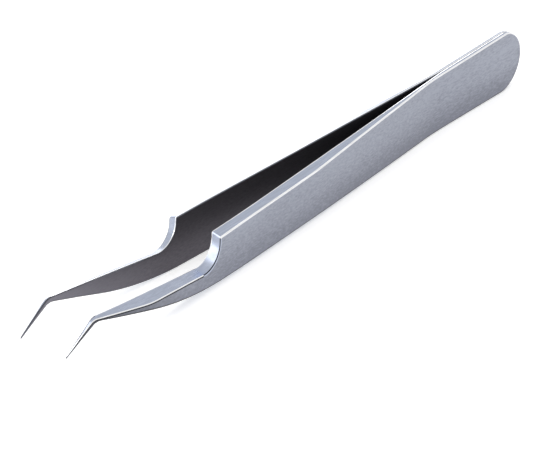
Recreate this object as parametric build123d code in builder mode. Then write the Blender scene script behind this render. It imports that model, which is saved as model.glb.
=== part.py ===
from build123d import *
import os
from math import radians, tan

os.makedirs("parts", exist_ok=True)

# Fine angled tweezers: two stainless arms, welded face to face at the rounded end, splayed towards the points.
# The tweezers lie on the lower edges of both arms. X runs from the points to the rounded end, Y across the two
# arms and Z up. The origin is on the ground, below the middle of the length. All sizes are in millimetres.

# Length, and distances from the points along it
length = 115.0
bend_from_points = 5.75
nose_from_points = 16.5
shoulder_from_points = 32.6
knee_from_points = 39.8
grip_from_points = 57.0

# Distances from the rounded end
weld_length = 21.0
thin_length = 24.5

# Inner faces: half of the gap between the arms
point_half_gap = 4.17
nose_half_gap = 3.98
knee_half_gap = 3.11
gap_nose_from_points = 13.0

# Thickness of one arm, across Y
point_thickness = 0.16
bend_thickness = 0.66
nose_thickness = 1.93
grip_thickness = 1.55
weld_thickness = 0.71

# Radii of the plan outline, where the stock is bent or ground from one flat to the next
spring_radius = 60.0
knee_radius = 300.0
grind_radius = 100.0
nose_radius = 20.0

# Heights of the grip
shoulder_height = 8.49
end_height = 10.5
end_top_radius = 4.9
top_hollow = 0.15

# Long edges: they slant inwards from the inner face to the outer face, and square up towards the weld
edge_slant = 23.0
weld_edge_slant = 8.0
edge_land = 0.15

# Upper outline of the front, measured on the nose plane, which stands at the half gap of the nose
point_top = 2.98
bend_top = 6.92
foot_height = 3.48
bend_top_radius = 2.0
notch_radius = 3.6
wall_lean = 5.7

# Lower outline of the front, measured on the nose plane
point_bottom = 2.68
bend_bottom = 5.90
bend_bottom_from_points = 5.85
belly_from_points = 24.2
belly_radius = 60.0
bend_bottom_radius = 1.2

# Shift of the corners of these outlines for each millimetre outwards from the nose plane
bend_top_shift = (-0.42, -0.59)
notch_shift = 0.20
bend_bottom_shift = (0.23, 0.20)
belly_shift = 0.78

# Reach of the cutting bodies past the faces that they cut
spare = 1.5

slant = tan(radians(edge_slant))
weld_slant = tan(radians(weld_edge_slant))
points_x = -length / 2
end_x = length / 2
weld_x = end_x - weld_length
thin_x = end_x - thin_length
end_bottom_radius = end_height - end_top_radius


def from_points(distance):
    """X of a place that is given by its distance from the points."""
    return points_x + distance


def along(outline, x):
    """Height of an open outline of straight runs at x, where its corners are listed from low X to high X."""
    for (x0, v0), (x1, v1) in zip(outline, outline[1:]):
        if x <= x1:
            break
    return v0 + (v1 - v0) * (x - x0) / (x1 - x0)


# Plan outlines of one arm, from the points to the rounded end
inner_face = [
    (points_x, point_half_gap),
    (from_points(gap_nose_from_points), nose_half_gap),
    (from_points(knee_from_points), knee_half_gap),
    (weld_x, 0),
    (end_x + spare, 0),
]
bend_x = from_points(bend_from_points)
nose_x = from_points(nose_from_points)
grip_x = from_points(grip_from_points)
outer_face = [
    (points_x, point_half_gap + point_thickness),
    (bend_x, along(inner_face, bend_x) + bend_thickness),
    (nose_x, along(inner_face, nose_x) + nose_thickness),
    (grip_x, along(inner_face, grip_x) + grip_thickness),
    (thin_x, weld_thickness),
    (end_x + spare, weld_thickness),
]

# Side outline of the grip: its upper edge is slightly hollow, and two quarter rounds form its end
shoulder_x = from_points(shoulder_from_points)
round_x = end_x - end_top_radius
grip_rise = (end_height - shoulder_height) / (round_x - shoulder_x)


def grip_top(x):
    """Height of the grip's upper inner edge at x, without its slight hollow."""
    return shoulder_height + grip_rise * (x - shoulder_x)


def upper_outline(depth):
    """Corners of the front's upper outline at a depth outwards from the nose plane, from the points upwards."""
    lean = tan(radians(wall_lean))
    corner_x = bend_x + depth * bend_top_shift[0]
    corner_z = bend_top + depth * bend_top_shift[1]
    foot_z = foot_height - depth * slant
    top_z = end_height + spare
    wall_x = shoulder_x + depth * notch_shift
    foot_x = wall_x - (shoulder_height - foot_z) * lean
    top_x = wall_x + (top_z - shoulder_height) * lean
    rise = (corner_z - point_top) / (corner_x - points_x)
    start = (points_x - spare, point_top - spare * rise)
    return [start, (corner_x, corner_z), (foot_x, foot_z), (top_x, top_z)]


def lower_outline(depth):
    """Corners of the front's lower outline at a depth outwards from the nose plane, from the points backwards."""
    corner_x = from_points(bend_bottom_from_points) + depth * bend_bottom_shift[0]
    corner_z = bend_bottom + depth * bend_bottom_shift[1]
    belly_x = from_points(belly_from_points) + depth * belly_shift
    belly_z = (nose_half_gap + depth - along(inner_face, shoulder_x)) * slant
    rise = (corner_z - point_bottom) / (corner_x - points_x)
    start = (points_x - spare, point_bottom - spare * rise)
    return [start, (corner_x, corner_z), (belly_x, belly_z), (from_points(knee_from_points), belly_z)]


def edge_section(x, slope, side):
    """Corners of the stock that is ground off one long edge at x: side 1 is the upper edge, -1 the lower one."""
    inner_y = along(inner_face, x)
    outer_y = along(outer_face, x)
    edge_z = grip_top(x) if side > 0 else 0
    land_y = inner_y + edge_land
    reach = (outer_y - land_y + spare) / (outer_y - land_y)
    depth = (outer_y - inner_y) * slope * reach
    return [
        (land_y, edge_z),
        (outer_y + spare, edge_z - side * depth),
        (outer_y + spare, edge_z + side * spare),
        (land_y, edge_z + side * spare),
    ]


# Depths of the two planes, outside both faces of the arm, between which the front's slanted cuts are ruled
near_depth = along(inner_face, shoulder_x) - nose_half_gap - spare
far_depth = nose_thickness + spare

with BuildPart() as right_arm:
    # Plan outline: flat at the weld, splayed along the grip, nearly parallel at the points
    with BuildSketch(Plane.XY):
        with BuildLine():
            inner = FilletPolyline(*inner_face, radius=[knee_radius, knee_radius, spring_radius])
            outer = FilletPolyline(*outer_face, radius=[nose_radius, nose_radius, grind_radius, spring_radius])
            Line(inner @ 0, outer @ 0)
            Line(inner @ 1, outer @ 1)
        make_face()
    extrude(amount=end_height + spare)

    # Side outline of the grip, with its rounded end
    with BuildSketch(Plane.XZ):
        with BuildLine():
            front_x = points_x - spare
            grip_middle = (shoulder_x + round_x) / 2
            Line((front_x, grip_top(shoulder_x)), (shoulder_x, shoulder_height))
            ThreePointArc(
                (shoulder_x, shoulder_height),
                (grip_middle, grip_top(grip_middle) - top_hollow),
                (round_x, end_height),
            )
            RadiusArc((round_x, end_height), (end_x, end_bottom_radius), end_top_radius)
            RadiusArc((end_x, end_bottom_radius), (end_x - end_bottom_radius, 0), end_bottom_radius)
            Polyline((end_x - end_bottom_radius, 0), (front_x, 0), (front_x, grip_top(shoulder_x)))
        make_face()
    extrude(amount=-(far_depth + nose_half_gap), mode=Mode.INTERSECT)

    # Upper side of the front: the points, the bend, the nose and the notch below the shoulder
    for depth in (near_depth, far_depth):
        corners = upper_outline(depth)
        with BuildSketch(Plane.XZ.offset(-(nose_half_gap + depth))):
            with BuildLine():
                path = FilletPolyline(*corners, radius=[bend_top_radius, notch_radius])
                Polyline(path @ 1, (corners[0][0], corners[-1][1]), path @ 0)
            make_face()
    loft(ruled=True, mode=Mode.SUBTRACT)

    # Lower side of the front: the points, the bend and the belly that the tweezers lie on
    for depth in (near_depth, far_depth):
        corners = lower_outline(depth)
        with BuildSketch(Plane.XZ.offset(-(nose_half_gap + depth))):
            with BuildLine():
                path = FilletPolyline(*corners, radius=[bend_bottom_radius, belly_radius])
                Polyline(path @ 1, (corners[-1][0], -spare), (corners[0][0], -spare), path @ 0)
            make_face()
    loft(ruled=True, mode=Mode.SUBTRACT)

    # Long edges of the grip, above and below
    for side in (1, -1):
        for x, slope in ((shoulder_x, slant), (grip_x, slant), (thin_x, weld_slant), (end_x + spare, weld_slant)):
            with BuildSketch(Plane.YZ.offset(x)):
                with BuildLine():
                    Polyline(*edge_section(x, slope, side), close=True)
                make_face()
        loft(ruled=True, mode=Mode.SUBTRACT)

right_arm.part.label = "right_arm"

with BuildPart() as left_arm:
    add(right_arm.part)
    mirror(about=Plane.XZ, mode=Mode.REPLACE)

left_arm.part.label = "left_arm"

export_step(right_arm.part, "parts/right_arm.step")
export_step(left_arm.part, "parts/left_arm.step")
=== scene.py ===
import math

import bpy
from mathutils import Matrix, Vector


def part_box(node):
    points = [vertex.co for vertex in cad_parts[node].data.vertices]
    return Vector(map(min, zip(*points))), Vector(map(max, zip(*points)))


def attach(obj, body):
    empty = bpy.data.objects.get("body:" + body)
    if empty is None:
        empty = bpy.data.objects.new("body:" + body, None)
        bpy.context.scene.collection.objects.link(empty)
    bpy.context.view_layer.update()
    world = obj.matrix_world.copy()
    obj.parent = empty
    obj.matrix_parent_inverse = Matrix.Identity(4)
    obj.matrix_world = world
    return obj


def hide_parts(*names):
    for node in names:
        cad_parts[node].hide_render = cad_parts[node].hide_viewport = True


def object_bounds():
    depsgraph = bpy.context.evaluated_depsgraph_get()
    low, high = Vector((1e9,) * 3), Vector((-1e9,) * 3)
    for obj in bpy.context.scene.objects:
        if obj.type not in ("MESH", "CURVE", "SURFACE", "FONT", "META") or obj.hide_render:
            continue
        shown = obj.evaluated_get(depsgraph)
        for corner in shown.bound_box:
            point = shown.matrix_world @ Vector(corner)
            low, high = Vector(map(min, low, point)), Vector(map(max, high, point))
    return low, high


bl_info = {
    "name": "Fine Angled Tweezers",
    "version": (1, 0, 0),
    "blender": (4, 5, 0),
    "location": "View3D > Sidebar > Tweezers",
    "description": "Builds a pair of fine angled tweezers with satin arms and bright ground edges",
    "category": "Object",
}

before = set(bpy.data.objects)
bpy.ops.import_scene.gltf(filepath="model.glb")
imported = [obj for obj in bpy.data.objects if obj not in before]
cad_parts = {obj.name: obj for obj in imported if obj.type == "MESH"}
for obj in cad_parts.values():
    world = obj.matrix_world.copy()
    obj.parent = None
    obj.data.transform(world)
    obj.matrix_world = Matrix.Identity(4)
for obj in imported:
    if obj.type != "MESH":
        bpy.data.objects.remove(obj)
CAD_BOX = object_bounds()
ARM_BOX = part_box("right_arm")
LENGTH = round(ARM_BOX[1].x - ARM_BOX[0].x, 5)

# Radii of the plan outline, and width of the rounding along the long edges, in metres
KNEE_RADIUS = 0.3
SPRING_RADIUS = 0.06
NOSE_RADIUS = 0.02
GRIND_RADIUS = 0.1
EDGE_RADIUS = 0.0002

# Reach of the outlines past the rounded end and above the grip
PAST_END = 0.01
ABOVE_GRIP = 0.002

# Steps of an arc of the plan outline, and rounds of the two searches
PLAN_STEPS = 8
SETTLE_ROUNDS = 6
CORNER_ROUNDS = 30


# Outlines

def rounded(corners, radii, steps):
    """Points along straight lines whose inner corners are rounded, and where each arc starts and ends."""
    points, marks = [Vector(corners[0])], []
    for before, corner, after, radius in zip(corners, corners[1:], corners[2:], radii):
        corner = Vector(corner)
        back = (Vector(before) - corner).normalized()
        ahead = (Vector(after) - corner).normalized()
        half = back.angle(ahead) / 2
        reach = radius / math.tan(half)
        centre = corner + (back + ahead).normalized() * (radius / math.sin(half))
        start, end = corner + back * reach - centre, corner + ahead * reach - centre
        marks.append(len(points))
        turn = start.angle_signed(end)
        for k in range(steps + 1):
            a = -turn * k / steps
            points.append(centre + Vector((
                start.x * math.cos(a) - start.y * math.sin(a),
                start.x * math.sin(a) + start.y * math.cos(a),
            )))
        marks.append(len(points) - 1)
    points.append(Vector(corners[-1]))
    return points, marks


def height_at(points, x):
    """Height of a run of points at x, where x only grows along the run."""
    for a, b in zip(points, points[1:]):
        if x <= b.x:
            break
    return a.y + (b.y - a.y) * (x - a.x) / (b.x - a.x)


class ArmShape:
    """The four long edges of one arm, worked out from its sizes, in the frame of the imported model."""

    def __init__(self, s):
        self.s = s
        self.start = -s.length / 2
        self.end = s.length / 2
        gap_nose = self.start + s.gap_nose_from_points
        knee = self.start + s.knee_from_points
        weld = self.end - s.weld_length
        inner = [
            (self.start, s.point_half_gap), (gap_nose, s.nose_half_gap), (knee, s.knee_half_gap),
            (weld, 0), (self.end + PAST_END, 0),
        ]
        self.bend = self.start + s.bend_from_points
        nose = self.start + s.nose_from_points
        self.grip = self.start + s.grip_from_points
        self.thin = self.end - s.thin_length
        corners = [Vector(p) for p in inner]
        outer = [
            (self.start, s.point_half_gap + s.point_thickness),
            (self.bend, height_at(corners, self.bend) + s.bend_thickness),
            (nose, height_at(corners, nose) + s.nose_thickness),
            (self.grip, height_at(corners, self.grip) + s.grip_thickness),
            (self.thin, s.weld_thickness),
            (self.end + PAST_END, s.weld_thickness),
        ]
        inner_radii = (KNEE_RADIUS, KNEE_RADIUS, SPRING_RADIUS)
        outer_radii = (NOSE_RADIUS, NOSE_RADIUS, GRIND_RADIUS, SPRING_RADIUS)
        self.inner, _ = rounded(inner, inner_radii, PLAN_STEPS)
        self.outer, _ = rounded(outer, outer_radii, PLAN_STEPS)
        self.shoulder = self.start + s.shoulder_from_points
        self.round_start = self.end - s.end_top_radius
        self.slant = math.tan(s.edge_slant)
        self.weld_slant = math.tan(s.weld_edge_slant)

    def side(self, x, outside):
        """Y of the inner or the outer face of the right arm at x."""
        return height_at(self.outer if outside else self.inner, x)

    def edge_slope(self, x):
        """Slope of the ground long edges of the grip at x."""
        t = min(max((x - self.grip) / (self.thin - self.grip), 0), 1)
        return self.slant + (self.weld_slant - self.slant) * t

    def edge_drop(self, x, outside):
        """How far the grip's outer edge stands back from its inner edge, up or down."""
        if not outside:
            return 0
        return (self.side(x, True) - self.side(x, False) - self.s.edge_land) * self.edge_slope(x)

    def grip_top(self, x, outside):
        """Height of the grip's upper inner or outer edge at x."""
        s = self.s
        t = (x - self.shoulder) / (self.round_start - self.shoulder)
        line = s.shoulder_height + (s.end_height - s.shoulder_height) * t
        return line - s.top_hollow * 4 * t * max(1 - t, 0) - self.edge_drop(x, outside)

    def upper_corners(self, depth):
        """Corners of the front's upper outline at a depth outwards from the nose plane."""
        s = self.s
        lean = math.tan(s.wall_lean)
        foot = s.foot_height - depth * self.slant
        wall = self.shoulder + depth * s.notch_shift
        top = s.end_height + ABOVE_GRIP
        return [
            (self.start, s.point_top),
            (self.bend + depth * s.bend_top_shift[0], s.bend_top + depth * s.bend_top_shift[1]),
            (wall - (s.shoulder_height - foot) * lean, foot),
            (wall + (top - s.shoulder_height) * lean, top),
        ]

    def lower_corners(self, depth):
        """Corners of the front's lower outline at a depth outwards from the nose plane."""
        s = self.s
        bend = self.start + s.bend_bottom_from_points
        belly = (s.nose_half_gap + depth - self.side(self.shoulder, False)) * self.slant
        return [
            (self.start, s.point_bottom),
            (bend + depth * s.bend_bottom_shift[0], s.bend_bottom + depth * s.bend_bottom_shift[1]),
            (self.start + s.belly_from_points + depth * s.belly_shift, belly),
            (self.start + s.knee_from_points, belly),
        ]

    def depth(self, x, outside):
        """How far the inner or the outer face lies outwards from the nose plane at x."""
        return self.side(x, outside) - self.s.nose_half_gap

    def settle(self, place, outside):
        """The point that place(depth) gives at the depth where the face really is."""
        x = self.start
        for _ in range(SETTLE_ROUNDS):
            point = place(self.depth(x, outside))
            x = point.x
        return point

    def upper_edge(self, outside):
        """Points of an upper long edge, from the points to where the rounded end's two quarters meet."""
        s = self.s
        points = []
        tip, bend, nose, notch, wall = s.stations

        def along_front(kind, t):
            def place(depth):
                run, marks = rounded(self.upper_corners(depth), (s.bend_top_radius, s.notch_radius), notch)
                first, second, third, fourth = (run[m] for m in marks)
                if kind == "tip":
                    return run[0].lerp(first, t)
                if kind == "bend":
                    return run[marks[0] + round(t * notch)]
                if kind == "nose":
                    return second.lerp(third, t)
                if kind == "notch":
                    return run[marks[2] + round(t * notch)]
                return fourth.lerp(run[-1], t)
            return self.settle(place, outside)

        for kind, sections in (("tip", tip), ("bend", bend), ("nose", nose), ("notch", notch)):
            points += [along_front(kind, k / sections) for k in range(sections)]

        # The shoulder's corner is where the wall meets the grip's upper edge
        low, high = 0.0, 1.0
        for _ in range(CORNER_ROUNDS):
            middle = (low + high) / 2
            point = along_front("wall", middle)
            if point.y < self.grip_top(point.x, outside):
                low = middle
            else:
                high = middle
        foot = along_front("wall", 0)
        corner = along_front("wall", low)
        radius = s.edge_radius
        share = radius / (corner - foot).length
        for k in range(wall):
            points.append(foot.lerp(corner, (1 - share) * k / (wall - 1)))

        # The corner is rounded, and the edge runs on along the grip and round the end
        ahead = corner.x + radius
        after = Vector((ahead, self.grip_top(ahead, outside)))
        points.append((points[-1] + after) / 4 + corner / 2)
        points.append(after)
        points += self.grip_run(lambda x: self.grip_top(x, outside), ahead)
        for k in range(1, s.end_stations + 1):
            a = math.pi / 2 * (1 - k / s.end_stations)
            x = self.round_start + s.end_top_radius * math.cos(a)
            z = s.end_height - s.end_top_radius * (1 - math.sin(a))
            points.append(Vector((x, min(z, self.grip_top(x, outside)) if k < s.end_stations else z)))
        return points

    def grip_run(self, height, x0):
        """Points along the grip from x0 to where the upper quarter of the end starts."""
        count = self.s.grip_stations
        xs = [x0 + (self.round_start - x0) * k / count for k in range(1, count + 1)]
        return [Vector((x, height(x))) for x in xs]

    def lower_edge(self, upper, outside):
        """Points of a lower long edge, one below each point of the upper edge."""
        s = self.s
        tip, bend, nose, notch, wall = s.stations
        points = []

        def outline(depth):
            return rounded(self.lower_corners(depth), (s.bend_bottom_radius, s.belly_radius), 2 * notch)

        def low_at(x):
            run, _ = outline(self.depth(x, outside))
            low = height_at(run, min(x, run[-1].x))
            if x >= self.shoulder:
                if x > run[-1].x:
                    low = 0
                low = max(low, self.edge_drop(x, outside))
            return max(low, 0)

        for k in range(tip + bend):
            def place(depth):
                run, marks = outline(depth)
                if k < tip:
                    return run[0].lerp(run[marks[0]], k / tip)
                return run[marks[0]].lerp(run[marks[1]], (k - tip) / bend)
            points.append(self.settle(place, outside))
        after = points[-1].x
        rest = upper[tip + bend:]
        first, last = rest[0].x, rest[nose].x
        radius = s.end_height - s.end_top_radius
        count = s.end_stations
        stretch = (self.end - radius - self.shoulder) / (self.round_start - self.shoulder)
        for k, point in enumerate(rest):
            x = point.x
            if k < nose:
                x = after + (last - after) * (k + 1) / (nose + 1)
            elif x > self.shoulder:
                x = self.shoulder + (x - self.shoulder) * stretch
            points.append(Vector((x, low_at(x))))
        for k in range(1, count + 1):
            a = math.pi / 2 * (1 - k / count)
            x = self.end - radius + radius * math.cos(a)
            z = radius * (1 - math.sin(a))
            low = max(z, self.edge_drop(x, outside)) if k < count else z
            points[len(points) - 1 - count + k] = Vector((x, low))
        return points

    def edges(self):
        """Upper inner, upper outer, lower outer and lower inner edge, as lists of (x, y, z)."""
        upper = [self.upper_edge(outside) for outside in (False, True)]
        lower = [self.lower_edge(upper[i], outside) for i, outside in enumerate((False, True))]
        runs = ((upper[0], False), (upper[1], True), (lower[1], True), (lower[0], False))
        return [[(p.x, self.side(p.x, outside), p.y) for p in run] for run, outside in runs]


# Sizes and colours that a user would change

def size(name, description, default):
    return bpy.props.FloatProperty(
        name=name, description=description, default=default, subtype="DISTANCE", unit="LENGTH", precision=5)


def turn(name, description, degrees):
    return bpy.props.FloatProperty(
        name=name, description=description, default=math.radians(degrees), subtype="ANGLE", unit="ROTATION")


def colour(name, description, default):
    return bpy.props.FloatVectorProperty(
        name=name, description=description, default=default, size=3, min=0, max=1, subtype="COLOR")


def count(name, description, default, low=2):
    return bpy.props.IntProperty(name=name, description=description, default=default, min=low, max=400)


class TweezersArmSizes(bpy.types.PropertyGroup):
    length: size("Length", "From the points to the rounded end", LENGTH)
    bend_from_points: size("Bend", "From the points to the bend, on the upper edge", 0.00575)
    bend_bottom_from_points: size("Lower bend", "From the points to the bend, on the lower edge", 0.00585)
    gap_nose_from_points: size("Gap turn", "From the points to where the gap starts to close in", 0.013)
    nose_from_points: size("Nose", "From the points to the thickest place of the front", 0.0165)
    belly_from_points: size("Belly", "From the points to where the lower edge meets the ground", 0.0242)
    shoulder_from_points: size("Shoulder", "From the points to the step up to the grip", 0.0326)
    knee_from_points: size("Knee", "From the points to where the arms turn towards the weld", 0.0398)
    grip_from_points: size("Grip", "From the points to where the stock starts to thin out", 0.057)
    weld_length: size("Weld", "Length over which the arms are welded together", 0.021)
    thin_length: size("Thin end", "Length of the thin end of each arm", 0.0245)
    point_half_gap: size("Half gap at points", "Half of the gap between the points", 0.00417)
    nose_half_gap: size("Half gap at nose", "Half of the gap between the arms at the nose", 0.00398)
    knee_half_gap: size("Half gap at knee", "Half of the gap between the arms at the knee", 0.00311)
    point_thickness: size("Point thickness", "Thickness of an arm at its point", 0.00016)
    bend_thickness: size("Bend thickness", "Thickness of an arm at the bend", 0.00066)
    nose_thickness: size("Nose thickness", "Thickness of an arm at the nose", 0.00193)
    grip_thickness: size("Grip thickness", "Thickness of an arm at the grip", 0.00155)
    weld_thickness: size("Weld thickness", "Thickness of an arm at the weld", 0.00071)
    point_top: size("Point top", "Height of the points' upper edge", 0.00298)
    point_bottom: size("Point bottom", "Height of the points' lower edge", 0.00268)
    bend_top: size("Bend top", "Height of the bend's upper corner", 0.00692)
    bend_bottom: size("Bend bottom", "Height of the bend's lower corner", 0.0059)
    foot_height: size("Foot height", "Height of the front at the foot of the step", 0.00348)
    shoulder_height: size("Shoulder height", "Height of the grip at the shoulder", 0.00849)
    end_height: size("End height", "Height of the grip at the rounded end", 0.0105)
    end_top_radius: size("End radius", "Radius of the upper quarter of the rounded end", 0.0049)
    top_hollow: size("Top hollow", "How far the grip's upper edge is hollow", 0.00015)
    bend_top_radius: size("Upper bend radius", "Radius of the bend's upper outline", 0.002)
    bend_bottom_radius: size("Lower bend radius", "Radius of the bend's lower outline", 0.0012)
    notch_radius: size("Notch radius", "Radius between the front and the step", 0.0036)
    belly_radius: size("Belly radius", "Radius of the belly that the tweezers lie on", 0.06)
    edge_land: size("Edge land", "Flat strip along each long edge", 0.00015)
    edge_radius: size("Edge rounding", "Width of the rounding along the long edges", EDGE_RADIUS)
    wall_lean: turn("Step lean", "Lean of the step away from upright", 5.7)
    edge_slant: turn("Edge slant", "Slant of the ground long edges", 23)
    weld_edge_slant: turn("Weld edge slant", "Slant of the long edges at the weld", 8)
    notch_shift: bpy.props.FloatProperty(
        name="Step shift", description="Shift of the step for each unit outwards", default=0.2)
    belly_shift: bpy.props.FloatProperty(
        name="Belly shift", description="Shift of the belly for each unit outwards", default=0.78)
    bend_top_shift: bpy.props.FloatVectorProperty(
        name="Upper bend shift", description="Shift of the upper bend for each unit outwards",
        default=(-0.42, -0.59), size=2)
    bend_bottom_shift: bpy.props.FloatVectorProperty(
        name="Lower bend shift", description="Shift of the lower bend for each unit outwards",
        default=(0.23, 0.2), size=2)
    stations: bpy.props.IntVectorProperty(
        name="Front stations", description="Sections along the point, bend, nose, notch and step",
        default=(14, 10, 30, 24, 10), size=5, min=2)
    grip_stations: count("Grip stations", "Sections along the grip", 90)
    end_stations: count("End stations", "Sections around each quarter of the rounded end", 24)


class TweezersFinish(bpy.types.PropertyGroup):
    outer_light: colour("Outer face", "Satin steel of the outer faces", (0.305, 0.323, 0.378))
    # Darker outer tone lower down, painted shade
    outer_low_shade: colour("Outer face, low", "Satin steel towards the lower edge", (0.205, 0.214, 0.255))
    # Darker outer tone towards the points, painted shade
    outer_point_shade: colour("Outer face at the points", "Darker steel towards the points", (0.1, 0.103, 0.12))
    # Low tone of the inner faces, painted shade between the arms; their brush lines are their own
    inner: colour("Inner face", "Darker satin steel of the inner faces", (0.122, 0.114, 0.132))
    # Lighter inner tone towards the points, where the painted shade between the arms eases
    inner_point_shade: colour("Inner face at the points", "Inner faces towards the points", (0.2, 0.195, 0.225))
    strip: colour("Ground edge", "Semi-bright steel of the ground long edges", (0.42, 0.46, 0.56))
    # Near-white tone of the polished edge roundings, a painted highlight
    bright: colour("Bright edge", "Polished edge roundings", (0.95, 0.955, 0.97))
    # Near-black tone of some edge roundings and of a line on the inner face, painted shade
    shade: colour("Dark edge", "Dark roundings along some of the edges", (0.035, 0.035, 0.042))
    brush_width: size("Brush line width", "Width of one brush line", 0.0002)
    brush_length: size("Brush line length", "Length of one brush line", 0.0007)


class TweezersStageSettings(bpy.types.PropertyGroup):
    floor: colour("Floor", "Pale floor", (0.9, 0.9, 0.9))
    floor_lift: bpy.props.FloatProperty(
        name="Floor lift", description="White that is added to the floor where it is seen",
        default=0.4, min=0)
    world_strength: bpy.props.FloatProperty(
        name="World light", description="Strength of the light from all around", default=0.75, min=0)
    key_power: bpy.props.FloatProperty(
        name="Key lamp", description="Power of the large soft lamp",
        default=2.5, min=0, subtype="POWER", unit="POWER")
    key_place: bpy.props.FloatVectorProperty(
        name="Key place", description="Where the large soft lamp stands", default=(-0.48, 0.03, 0.36),
        size=3, subtype="TRANSLATION", unit="LENGTH")
    card_power: bpy.props.FloatProperty(
        name="Card power", description="Power of the low card behind",
        default=0.4, min=0, subtype="POWER", unit="POWER")
    card_place: bpy.props.FloatVectorProperty(
        name="Card place", description="Where the low card stands, which the far ground edges reflect",
        default=(0.41, 0.43, 0.07), size=3, subtype="TRANSLATION", unit="LENGTH")
    camera_place: bpy.props.FloatVectorProperty(
        name="Camera place", description="Where the camera stands", default=(-0.314843, -0.247555, 0.219089),
        size=3, subtype="TRANSLATION", unit="LENGTH")
    camera_aim: bpy.props.FloatVectorProperty(
        name="Camera aim", description="Point that the camera looks at",
        default=(-0.000149, 0.005786, -0.004392), size=3, subtype="TRANSLATION", unit="LENGTH")
    lens: bpy.props.FloatProperty(
        name="Lens", description="Focal length on a 36 mm sensor", default=199.77, min=1, unit="CAMERA")


# Node trees

class Tree:
    """A node tree under construction."""

    def __init__(self, tree):
        self.tree = tree

    def node(self, kind, inputs=(), **settings):
        """A new node with its settings, and with its inputs set or linked."""
        node = self.tree.nodes.new(kind)
        for name, value in settings.items():
            setattr(node, name, value)
        for socket, value in dict(inputs).items():
            self.feed(node.inputs[socket], value)
        return node

    def feed(self, socket, value):
        """Links a socket to another socket or node, or sets it to a plain value."""
        if isinstance(value, bpy.types.NodeSocket):
            self.tree.links.new(value, socket)
        elif isinstance(value, bpy.types.Node):
            self.tree.links.new(value.outputs[0], socket)
        else:
            socket.default_value = value

    def maths(self, operation, a, b=0.0):
        return self.node("ShaderNodeMath", {0: a, 1: b}, operation=operation).outputs[0]

    def vector(self, operation, a, b=None, scale=None):
        inputs = {0: a}
        if b is not None:
            inputs[1] = b
        if scale is not None:
            inputs["Scale"] = scale
        node = self.node("ShaderNodeVectorMath", inputs, operation=operation)
        return node.outputs["Value" if operation in ("LENGTH", "DOT_PRODUCT", "DISTANCE") else "Vector"]

    def compare(self, a, b, operation="EQUAL", kind="INT"):
        node = self.node("FunctionNodeCompare", data_type=kind, operation=operation)
        sockets = [s for s in node.inputs if s.enabled and s.name in ("A", "B")]
        self.feed(sockets[0], a)
        self.feed(sockets[1], b)
        return node.outputs[0]

    def both(self, a, b):
        return self.node("FunctionNodeBooleanMath", {0: a, 1: b}, operation="AND").outputs[0]

    def either(self, a, b):
        return self.node("FunctionNodeBooleanMath", {0: a, 1: b}, operation="OR").outputs[0]

    def choose(self, condition, otherwise, chosen, kind="INT"):
        """The chosen value where the condition holds."""
        inputs = {"Switch": condition, "False": otherwise, "True": chosen}
        return self.node("GeometryNodeSwitch", inputs, input_type=kind).outputs[0]

    def table(self, index, values, kind="INT"):
        """The value of a short list at an index."""
        node = self.node("GeometryNodeIndexSwitch", data_type=kind)
        while len(node.index_switch_items) < len(values):
            node.index_switch_items.new()
        self.feed(node.inputs["Index"], index)
        for socket, value in zip(node.inputs[1:], values):
            socket.default_value = value
        return node.outputs[0]


# Section of an arm, as one ring of places. Its corners are 0 upper inner, 1 upper outer, 2 lower outer and
# 3 lower inner. Each place is (corner, next corner, share of the way to it, step into the face, step across the
# strip), and the steps are counted in widths of the edge rounding.
FACE_ROWS = 6

# Steps to the middle of a rounding, and to the end of the painted shade line on the inner face
MIDDLE = 0.29
INNER_LINE = 1.3


def face_places(corner, following):
    """Places on a face, between the roundings of two corners."""
    return [(corner, following, k / FACE_ROWS, 1.0, 0.0) for k in range(1, FACE_ROWS)]


RING = (
    [(0, 0, 0.0, INNER_LINE, 0.0), (0, 0, 0.0, MIDDLE, MIDDLE), (0, 0, 0.0, 0.0, 1.0)]
    + [(1, 1, 0.0, 0.0, 1.0), (1, 1, 0.0, MIDDLE, MIDDLE), (1, 1, 0.0, 1.0, 0.0)]
    + face_places(1, 2)
    + [(2, 2, 0.0, 1.0, 0.0), (2, 2, 0.0, MIDDLE, MIDDLE), (2, 2, 0.0, 0.0, 1.0)]
    + [(3, 3, 0.0, 0.0, 1.0), (3, 3, 0.0, MIDDLE, MIDDLE), (3, 3, 0.0, 1.0, 0.0)]
    + face_places(3, 0)
)

# Numbers of the finishes, in the order in which make_finishes gives them
OUTER_FACE, INNER_FACE, STRIP, PAINTED_HIGHLIGHT, PAINTED_SHADE, WALL = range(6)

# Finish of the face after each place of the ring. The near-white roundings of the upper edges are polished
# edges whose brightness is painted highlight.
# The near-black faces, a line along the inner face's upper edge and the roundings of the lower edges, are
# painted shade
FINISH = (
    [PAINTED_SHADE, PAINTED_HIGHLIGHT, STRIP, PAINTED_HIGHLIGHT, PAINTED_HIGHLIGHT] + [OUTER_FACE] * FACE_ROWS
    + [PAINTED_SHADE, PAINTED_SHADE, STRIP, PAINTED_SHADE, PAINTED_SHADE] + [INNER_FACE] * FACE_ROWS
)

# Faces of the ring that are roundings of the upper strip, and of the outer face beside it
STRIP_INNER_ROUNDING = 1
STRIP_OUTER_ROUNDING = 3
OUTER_ROUNDING = 4

# Largest share of a strip's width that one rounding takes
ROUNDING_LIMIT = 0.4

# Points of the skin that lie closer together than this, in metres, become one
MERGE_DISTANCE = 1e-5


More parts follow.
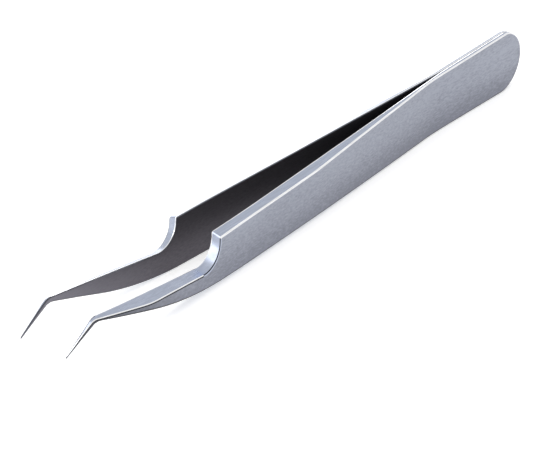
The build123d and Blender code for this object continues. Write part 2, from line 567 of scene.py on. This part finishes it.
def corner_tree():
    """Place of one section point near one of the four long edges."""
    tree = bpy.data.node_groups.new("Arm Corner", "GeometryNodeTree")
    face = tree.interface
    for name, kind in (
        ("Edges", "NodeSocketGeometry"), ("Tangent", "NodeSocketVector"), ("Sections", "NodeSocketInt"),
        ("Section", "NodeSocketInt"), ("Corner", "NodeSocketInt"), ("Into Face", "NodeSocketFloat"),
        ("Across Strip", "NodeSocketFloat"), ("Edge Radius", "NodeSocketFloat"),
    ):
        face.new_socket(name, in_out="INPUT", socket_type=kind)
    face.new_socket("Place", in_out="OUTPUT", socket_type="NodeSocketVector")
    t = Tree(tree)
    source = t.node("NodeGroupInput").outputs
    position = t.node("GeometryNodeInputPosition")

    def sample(value, corner):
        index = t.maths("ADD", t.maths("MULTIPLY", corner, source["Sections"]), source["Section"])
        node = t.node("GeometryNodeSampleIndex", data_type="FLOAT_VECTOR", domain="POINT")
        t.feed(node.inputs["Geometry"], source["Edges"])
        t.feed(node.inputs["Value"], value)
        t.feed(node.inputs["Index"], index)
        return node.outputs[0]

    corner = source["Corner"]
    odd = t.maths("MODULO", corner, 2.0)
    partner = t.maths("SUBTRACT", t.maths("ADD", corner, 1.0), t.maths("MULTIPLY", odd, 2.0))
    upper = t.maths("SUBTRACT", 1.0, t.maths("MULTIPLY", t.maths("GREATER_THAN", corner, 1.5), 2.0))
    here = sample(position, corner)
    across = t.vector("SUBTRACT", sample(position, partner), here)
    into = t.vector("CROSS_PRODUCT", (0.0, 1.0, 0.0), sample(source["Tangent"], corner))
    into = t.vector("SCALE", t.vector("NORMALIZE", into), scale=upper)
    widest = t.maths("MULTIPLY", t.vector("LENGTH", across), ROUNDING_LIMIT)
    radius = t.maths("MINIMUM", source["Edge Radius"], widest)
    step_in = t.vector("SCALE", into, scale=t.maths("MULTIPLY", radius, source["Into Face"]))
    step_across = t.vector(
        "SCALE", t.vector("NORMALIZE", across), scale=t.maths("MULTIPLY", radius, source["Across Strip"]))
    place = t.vector("ADD", here, t.vector("ADD", step_in, step_across))
    t.node("NodeGroupOutput", {"Place": place})
    return tree


def arm_tree(finishes):
    """Skins the four long edges of an arm, rounds them and gives each face its finish."""
    tree = bpy.data.node_groups.new("Ruled Arm", "GeometryNodeTree")
    face = tree.interface
    face.new_socket("Long Edges", in_out="INPUT", socket_type="NodeSocketGeometry")
    for name, kind, default in (
        ("Edge Radius", "NodeSocketFloat", EDGE_RADIUS), ("Side", "NodeSocketFloat", 1.0),
        ("Bend Section", "NodeSocketInt", 1), ("Notch Section", "NodeSocketInt", 1),
        ("Shoulder Section", "NodeSocketInt", 1),
    ):
        face.new_socket(name, in_out="INPUT", socket_type=kind).default_value = default
    face.new_socket("Arm", in_out="OUTPUT", socket_type="NodeSocketGeometry")
    t = Tree(tree)
    source = t.node("NodeGroupInput").outputs
    edges = t.node("GeometryNodeCurveToPoints", {"Curve": source["Long Edges"]}, mode="EVALUATED")
    points = edges.outputs["Points"]
    total = t.node("GeometryNodeAttributeDomainSize", {"Geometry": points}, component="POINTCLOUD")
    sections = t.maths("DIVIDE", total.outputs["Point Count"], 4.0)

    # A grid with one column for each place of the ring, and one row more than there are sections
    ring = float(len(RING))
    grid = t.node("GeometryNodeMeshGrid", {
        "Size X": sections, "Size Y": ring,
        "Vertices X": t.maths("ADD", sections, 1.0), "Vertices Y": len(RING) + 1})
    on_grid = t.node("ShaderNodeSeparateXYZ", {0: t.node("GeometryNodeInputPosition")})
    row = t.maths("ROUND", t.maths("ADD", on_grid.outputs["X"], t.maths("DIVIDE", sections, 2.0)))
    column = t.maths("ROUND", t.maths("ADD", on_grid.outputs["Y"], ring / 2))
    kept = t.node("GeometryNodeCaptureAttribute", {"Geometry": grid.outputs["Mesh"]}, domain="POINT")
    kept.capture_items.new("FLOAT", "Row")
    kept.capture_items.new("FLOAT", "Column")
    t.feed(kept.inputs["Row"], row)
    t.feed(kept.inputs["Column"], column)
    row, column = kept.outputs["Row"], kept.outputs["Column"]
    slot = t.maths("MODULO", column, ring)
    section = t.maths("MAXIMUM", t.maths("SUBTRACT", row, 1.0), 0.0)

    corner_group = corner_tree()

    def near(corner, into, across, at):
        return t.node("GeometryNodeGroup", {
            "Edges": points, "Tangent": edges.outputs["Tangent"], "Sections": sections,
            "Section": at, "Corner": corner, "Into Face": into, "Across Strip": across,
            "Edge Radius": source["Edge Radius"]}, node_tree=corner_group).outputs[0]

    into = t.table(slot, [p[3] for p in RING], "FLOAT")
    across = t.table(slot, [p[4] for p in RING], "FLOAT")
    share = t.table(slot, [p[2] for p in RING], "FLOAT")
    here = near(t.table(slot, [p[0] for p in RING]), into, across, section)
    there = near(t.table(slot, [p[1] for p in RING]), into, across, section)
    skin = t.vector("ADD", here, t.vector("SCALE", t.vector("SUBTRACT", there, here), scale=share))
    tip = t.vector("SCALE", t.vector("ADD", near(0, 0.0, 0.0, 0), near(2, 0.0, 0.0, 0)), scale=0.5)
    at_tip = t.compare(row, 0.5, "LESS_THAN", "FLOAT")
    mirror = t.node("ShaderNodeCombineXYZ", {"X": 1.0, "Y": source["Side"], "Z": 1.0}).outputs[0]
    sided = t.vector("MULTIPLY", t.choose(at_tip, skin, tip, "VECTOR"), mirror)
    placed = t.node("GeometryNodeSetPosition", {"Geometry": kept.outputs["Geometry"], "Position": sided})
    turned = t.node("GeometryNodeFlipFaces", {
        "Mesh": placed.outputs[0], "Selection": t.compare(source["Side"], 0.0, "LESS_THAN", "FLOAT")})
    closed = t.node("GeometryNodeMergeByDistance", {"Geometry": turned.outputs[0], "Distance": MERGE_DISTANCE})

    # Finish of each face: the table's, except along the upper edges. The step's wall is polished, its outer
    # rounding has painted shade, and the rounding from there into the outer face is ground. On the front that
    # last rounding has painted shade, and so has the inner one of the points.
    ring_face = t.maths("FLOOR", slot)
    band = t.table(ring_face, FINISH)
    upper = t.compare(column, ring / 2, "LESS_THAN", "FLOAT")
    above_notch = t.compare(row, source["Notch Section"], "GREATER_THAN", "FLOAT")
    below_shoulder = t.compare(row, source["Shoulder Section"], "LESS_THAN", "FLOAT")
    on_wall = t.both(above_notch, below_shoulder)
    on_front = t.compare(row, source["Notch Section"], "LESS_THAN", "FLOAT")
    on_points = t.compare(row, source["Bend Section"], "LESS_THAN", "FLOAT")
    outer_rounding = t.compare(ring_face, OUTER_ROUNDING)
    wall = t.both(t.both(t.compare(band, STRIP), upper), on_wall)
    front_line = t.both(outer_rounding, on_front)
    point_line = t.both(t.compare(ring_face, STRIP_INNER_ROUNDING), on_points)
    wall_line = t.both(t.compare(ring_face, STRIP_OUTER_ROUNDING), on_wall)
    finish = t.choose(wall, band, WALL)
    finish = t.choose(t.either(t.either(front_line, point_line), wall_line), finish, PAINTED_SHADE)
    finish = t.choose(t.both(outer_rounding, on_wall), finish, STRIP)
    held = t.node("GeometryNodeCaptureAttribute", {"Geometry": closed.outputs[0]}, domain="FACE")
    held.capture_items.new("INT", "Finish")
    t.feed(held.inputs["Finish"], finish)
    finish = held.outputs["Finish"]

    # All faces are smooth, and the borders between two finishes are crisp
    smooth = t.node("GeometryNodeSetShadeSmooth", {
        "Geometry": held.outputs["Geometry"], "Shade Smooth": True}, domain="FACE")
    borders = t.node("GeometryNodeMeshFaceSetBoundaries", {0: finish})
    crisp = t.node("GeometryNodeSetShadeSmooth", {
        "Geometry": smooth.outputs[0], "Selection": borders.outputs[0], "Shade Smooth": False}, domain="EDGE")
    result = t.node("GeometryNodeRealizeInstances", {"Geometry": crisp.outputs[0]}).outputs[0]
    for number, material in enumerate(finishes):
        result = t.node("GeometryNodeSetMaterial", {
            "Geometry": result, "Selection": t.compare(finish, number), "Material": material}).outputs[0]
    t.node("NodeGroupOutput", {"Arm": result})
    return tree


# Finishes

def new_material(name, roughness, base):
    """A metal whose constant values are set on the shader itself."""
    material = bpy.data.materials.new(name)
    material.use_nodes = True
    tree = material.node_tree
    shader = tree.nodes["Principled BSDF"]
    shader.inputs["Metallic"].default_value = 1.0
    shader.inputs["Roughness"].default_value = roughness
    shader.inputs["Base Color"].default_value = (*base, 1)
    return material, Tree(tree), shader


def noise(t, stretch, detail, roughness):
    """Noise on Object coordinates, with one feature per given length along each axis."""
    place = t.node("ShaderNodeTexCoord").outputs["Object"]
    mapped = t.node("ShaderNodeMapping", {"Vector": place, "Scale": tuple(1 / v for v in stretch)})
    return t.node("ShaderNodeTexNoise", {
        "Vector": mapped.outputs[0], "Scale": 1.0, "Detail": detail, "Roughness": roughness}).outputs["Fac"]


def coordinate(t, axis):
    """One of the Object coordinates."""
    place = t.node("ShaderNodeTexCoord").outputs["Object"]
    return t.node("ShaderNodeSeparateXYZ", {0: place}).outputs[axis]


def spread(t, value, low, high, to_low, to_high):
    """A value between low and high, mapped to the range from to_low to to_high."""
    return t.node("ShaderNodeMapRange", {
        "Value": value, "From Min": low, "From Max": high, "To Min": to_low, "To Max": to_high}).outputs[0]


def mix(t, share, a, b):
    """Colour a, turning to colour b by the share."""
    node = t.node("ShaderNodeMix", data_type="RGBA")
    t.feed(node.inputs["Factor"], share)
    for socket, value in ((node.inputs[6], a), (node.inputs[7], b)):
        t.feed(socket, value if isinstance(value, bpy.types.NodeSocket) else (*value, 1))
    return node.outputs[2]


# Range in which noise mostly lies, and the wider one that its highest and lowest spots reach
NOISE_LOW, NOISE_HIGH = 0.3, 0.7
NOISE_LOWEST, NOISE_HIGHEST = 0.2, 0.8

# Satin faces: size of a broad patch, how far lines and patches move the share of the darker tone, how much of
# that is left where the face has painted shade lower down, and how much the lines change the gloss and the
# surface
PATCH = (0.02, 0.0035, 0.0035)
LINE_TONE, PATCH_TONE = 0.55, 0.15
FADED_TONE = 0.9
SATIN_GLOSS = 0.06
BRUSH_STRENGTH, BRUSH_DEPTH = 0.25, 0.00001

# Ground edges: size of a line and of a cloud, the shares of the darker tone that they give, how dark that tone
# is, and how much the clouds change the gloss
GROUND_LINE = (0.004, 0.0002, 0.0002)
CLOUD = (0.006, 0.0015, 0.0015)
LINE_SHARE, CLOUD_SHARE = (-0.1, 0.5), (0.0, 0.2)
GROUND_DARKER = 0.72
GROUND_GLOSS = 0.05

# Distances from the points over which the faces turn from the points' tone to their own. The outer face's
# points are darker with painted shade; the inner faces' own tone is painted shade, which eases at their points.
OUTER_REACH = (0.008, 0.026)
INNER_REACH = (0.004, 0.03)

# Heights between which the outer face's painted shade lightens, and its share of the darker tone at each of
# them
OUTER_LOW_SHADE = (0.0, 0.0075)
LOW_SHADE_SHARES = (1.0, 0.1)

# Darker tone of the inner face, as a share of its own
INNER_DARKER = 0.8


def satin(name, finish, light, dark, roughness, point, reach, fade=None):
    """Steel brushed lengthwise: fine lines change its tone, its gloss and its surface. It has the tone of the
    points there, and turns to its own over the reach; the outer points' tone and the inner faces' own tone are
    painted shade. With a fade it has painted shade that lightens upwards."""
    material, t, shader = new_material(name, roughness, light)
    fine = noise(t, (finish.brush_length, finish.brush_width, finish.brush_width), 3.0, 0.6)
    broad = noise(t, PATCH, 2.0, 0.5)
    line_tone = spread(t, fine, NOISE_LOW, NOISE_HIGH, -LINE_TONE, LINE_TONE)
    tone = t.maths("ADD", line_tone, spread(t, broad, NOISE_LOW, NOISE_HIGH, -PATCH_TONE, PATCH_TONE))
    if fade is None:
        share = t.maths("ADD", 0.5, tone)
    else:
        faded = spread(t, coordinate(t, "Z"), *fade, *LOW_SHADE_SHARES)
        share = t.maths("ADD", faded, t.maths("MULTIPLY", tone, FADED_TONE))
    share = t.maths("MINIMUM", t.maths("MAXIMUM", share, 0.0), 1.0)
    steel = mix(t, share, light, dark)
    at_points = spread(t, coordinate(t, "X"), *(reach_end - LENGTH / 2 for reach_end in reach), 1.0, 0.0)
    gloss = spread(t, fine, NOISE_LOWEST, NOISE_HIGHEST, roughness - SATIN_GLOSS, roughness + SATIN_GLOSS)
    bump = t.node("ShaderNodeBump", {"Height": fine, "Strength": BRUSH_STRENGTH, "Distance": BRUSH_DEPTH})
    t.feed(shader.inputs["Base Color"], mix(t, at_points, steel, point))
    t.feed(shader.inputs["Roughness"], gloss)
    t.feed(shader.inputs["Normal"], bump.outputs[0])
    return material


def ground(name, base, roughness):
    """Finely ground steel: faint lines and slight cloudiness."""
    material, t, shader = new_material(name, roughness, base)
    lines = noise(t, GROUND_LINE, 2.0, 0.5)
    cloud = noise(t, CLOUD, 1.0, 0.5)
    line_share = spread(t, lines, NOISE_LOW, NOISE_HIGH, *LINE_SHARE)
    share = t.maths("ADD", line_share, spread(t, cloud, NOISE_LOW, NOISE_HIGH, *CLOUD_SHARE))
    gloss = spread(t, cloud, NOISE_LOW, NOISE_HIGH, roughness - GROUND_GLOSS, roughness + GROUND_GLOSS)
    t.feed(shader.inputs["Base Color"], mix(t, share, base, tuple(c * GROUND_DARKER for c in base)))
    t.feed(shader.inputs["Roughness"], gloss)
    return material


def make_finishes(finish):
    """The materials of the arms, in the order of their numbers."""
    inner = tuple(finish.inner)
    strip = tuple(finish.strip)
    return [
        satin("outer_satin", finish, tuple(finish.outer_light), tuple(finish.outer_low_shade), roughness=0.36,
              point=tuple(finish.outer_point_shade), reach=OUTER_REACH, fade=OUTER_LOW_SHADE),
        satin("inner_satin_shade", finish, inner, tuple(c * INNER_DARKER for c in inner), roughness=0.45,
              point=tuple(finish.inner_point_shade), reach=INNER_REACH),
        ground("ground_strip", strip, roughness=0.28),
        ground("painted_highlight_edge", tuple(finish.bright), roughness=0.2),
        ground("painted_shade_edge", tuple(finish.shade), roughness=0.5),
        ground("polished_wall", strip, roughness=0.36),
    ]


# Pieces

def long_edges(shape):
    """A curve object that holds the four long edges of one arm."""
    data = bpy.data.curves.new("long_edges", "CURVE")
    data.dimensions = "3D"
    for run in shape.edges():
        spline = data.splines.new("POLY")
        spline.points.add(len(run) - 1)
        for point, place in zip(spline.points, run):
            point.co = (*place, 1)
    edges = bpy.data.objects.new("long_edges", data)
    bpy.context.scene.collection.objects.link(edges)
    return edges


def skin_arm(name, side, sizes, tree):
    """A plain mesh of one arm, made by the node tree from its long edges."""
    edges = long_edges(ArmShape(sizes))
    modifier = edges.modifiers.new("Ruled Arm", "NODES")
    modifier.node_group = tree
    tip, bend, nose, notch, wall = sizes.stations
    values = {
        "Edge Radius": sizes.edge_radius, "Side": float(side),
        "Bend Section": tip + bend, "Notch Section": tip + bend + nose + 1,
        "Shoulder Section": tip + bend + nose + notch + wall}
    for item in tree.interface.items_tree:
        if item.in_out == "INPUT" and item.name in values:
            modifier[item.identifier] = values[item.name]
    bpy.context.view_layer.update()
    depsgraph = bpy.context.evaluated_depsgraph_get()
    mesh = bpy.data.meshes.new_from_object(edges.evaluated_get(depsgraph), depsgraph=depsgraph)
    if not mesh.polygons:
        raise RuntimeError("The arm's node tree gave no faces")
    mesh.name = name
    edges.modifiers.remove(modifier)
    data = edges.data
    bpy.data.objects.remove(edges)
    bpy.data.curves.remove(data)
    arm = bpy.data.objects.new(name, mesh)
    bpy.context.scene.collection.objects.link(arm)
    return arm


class TWEEZERS_OT_arms(bpy.types.Operator):
    """Build both arms of the tweezers, with their satin faces and ground edges"""
    bl_idname = "tweezers.arms"
    bl_label = "Arms"

    def execute(self, context):
        sizes = context.scene.tweezers_sizes
        tree = arm_tree(make_finishes(context.scene.tweezers_finish))
        for node, side in (("left_arm", -1), ("right_arm", 1)):
            arm = skin_arm(node + "_steel", side, sizes, tree)
            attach(arm, "root")
            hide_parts(node)
        return {"FINISHED"}


class TWEEZERS_OT_stage(bpy.types.Operator):
    """Set up the pale floor, the soft studio light and the camera"""
    bl_idname = "tweezers.stage"
    bl_label = "Floor, Light and Camera"

    def execute(self, context):
        settings = context.scene.tweezers_stage
        make_floor(settings)
        make_light(context, settings)
        make_camera(context, settings)
        context.scene.view_settings.view_transform = "Standard"
        return {"FINISHED"}


# Floor, light and camera

# Half of the floor's width, and width and height of the two lamps
FLOOR_HALF = 3.0
KEY_EXTENT = (0.5, 0.8)
CARD_EXTENT = (0.35, 0.14)

# The camera's sensor in millimetres, and the distances between which it sees
SENSOR_WIDTH = 36
NEAREST, FARTHEST = 0.01, 20


def seen_directly(t):
    """1 on rays from the camera or from metal and glass, and 0 on the rays that only light."""
    path = t.node("ShaderNodeLightPath").outputs
    bounced = t.maths("MAXIMUM", path["Is Glossy Ray"], path["Is Transmission Ray"])
    return t.maths("MAXIMUM", path["Is Camera Ray"], bounced)


def make_floor(settings):
    """A pale matt floor at the part's lowest height."""
    data = bpy.data.meshes.new("floor")
    corners = [(x * FLOOR_HALF, y * FLOOR_HALF, 0) for x, y in ((-1, -1), (1, -1), (1, 1), (-1, 1))]
    data.from_pydata(corners, [], [(0, 1, 2, 3)])
    floor = bpy.data.objects.new("floor", data)
    floor.location.z = CAD_BOX[0][2]
    bpy.context.scene.collection.objects.link(floor)
    material = bpy.data.materials.new("pale_floor")
    material.use_nodes = True
    t = Tree(material.node_tree)
    shader = material.node_tree.nodes["Principled BSDF"]
    shader.inputs["Base Color"].default_value = (*settings.floor, 1)
    shader.inputs["Roughness"].default_value = 0.9
    shader.inputs["Specular IOR Level"].default_value = 0.0
    shader.inputs["Emission Color"].default_value = (1, 1, 1, 1)
    t.feed(shader.inputs["Emission Strength"], t.maths("MULTIPLY", seen_directly(t), settings.floor_lift))
    data.materials.append(material)


def make_light(context, settings):
    """Even light from all around, a large soft lamp, and a low card that the far ground edges reflect."""
    world = bpy.data.worlds.new("studio")
    world.use_nodes = True
    context.scene.world = world
    t = Tree(world.node_tree)
    background = world.node_tree.nodes["Background"]
    background.inputs["Color"].default_value = (1, 1, 1, 1)
    t.feed(background.inputs["Strength"], spread(t, seen_directly(t), 0.0, 1.0, settings.world_strength, 1.0))
    make_lamp(context, "key", settings.key_place, KEY_EXTENT, settings.key_power)
    make_lamp(context, "card", settings.card_place, CARD_EXTENT, settings.card_power)


def make_lamp(context, name, place, extent, power):
    """A rectangular lamp that faces the object and isn't seen by the camera."""
    data = bpy.data.lights.new(name, "AREA")
    data.shape = "RECTANGLE"
    data.size, data.size_y = extent
    data.energy = power
    lamp = bpy.data.objects.new(name, data)
    lamp.location = place
    lamp.rotation_euler = (-Vector(place)).to_track_quat("-Z", "Y").to_euler()
    lamp.visible_camera = False
    context.scene.collection.objects.link(lamp)


def make_camera(context, settings):
    """The camera that shows the tweezers from the photo's angle."""
    data = bpy.data.cameras.new("camera")
    data.sensor_width = SENSOR_WIDTH
    data.lens = settings.lens
    data.clip_start, data.clip_end = NEAREST, FARTHEST
    camera = bpy.data.objects.new("camera", data)
    camera.location = settings.camera_place
    look = Vector(settings.camera_aim) - Vector(settings.camera_place)
    camera.rotation_euler = look.to_track_quat("-Z", "Y").to_euler()
    context.scene.collection.objects.link(camera)
    context.scene.camera = camera


class TWEEZERS_PT_panel(bpy.types.Panel):
    """Lists the pieces of the tweezers and the stage"""
    bl_idname = "TWEEZERS_PT_panel"
    bl_label = "Fine Angled Tweezers"
    bl_space_type = "VIEW_3D"
    bl_region_type = "UI"
    bl_category = "Tweezers"

    def draw(self, context):
        layout = self.layout
        for title, group, operator in (
            ("Arms", context.scene.tweezers_sizes, "tweezers.arms"),
            ("Finish", context.scene.tweezers_finish, None),
            ("Stage", context.scene.tweezers_stage, "tweezers.stage"),
        ):
            box = layout.box()
            box.label(text=title)
            for name in group.__annotations__:
                box.prop(group, name)
            if operator:
                box.operator(operator)


CLASSES = (
    TweezersArmSizes, TweezersFinish, TweezersStageSettings,
    TWEEZERS_OT_arms, TWEEZERS_OT_stage, TWEEZERS_PT_panel,
)


def register():
    for cls in CLASSES:
        bpy.utils.register_class(cls)
    bpy.types.Scene.tweezers_sizes = bpy.props.PointerProperty(type=TweezersArmSizes)
    bpy.types.Scene.tweezers_finish = bpy.props.PointerProperty(type=TweezersFinish)
    bpy.types.Scene.tweezers_stage = bpy.props.PointerProperty(type=TweezersStageSettings)


def unregister():
    del bpy.types.Scene.tweezers_stage
    del bpy.types.Scene.tweezers_finish
    del bpy.types.Scene.tweezers_sizes
    for cls in reversed(CLASSES):
        bpy.utils.unregister_class(cls)


def main():
    register()
    bpy.ops.tweezers.arms()
    bpy.ops.tweezers.stage()


if __name__ == "__main__":
    main()
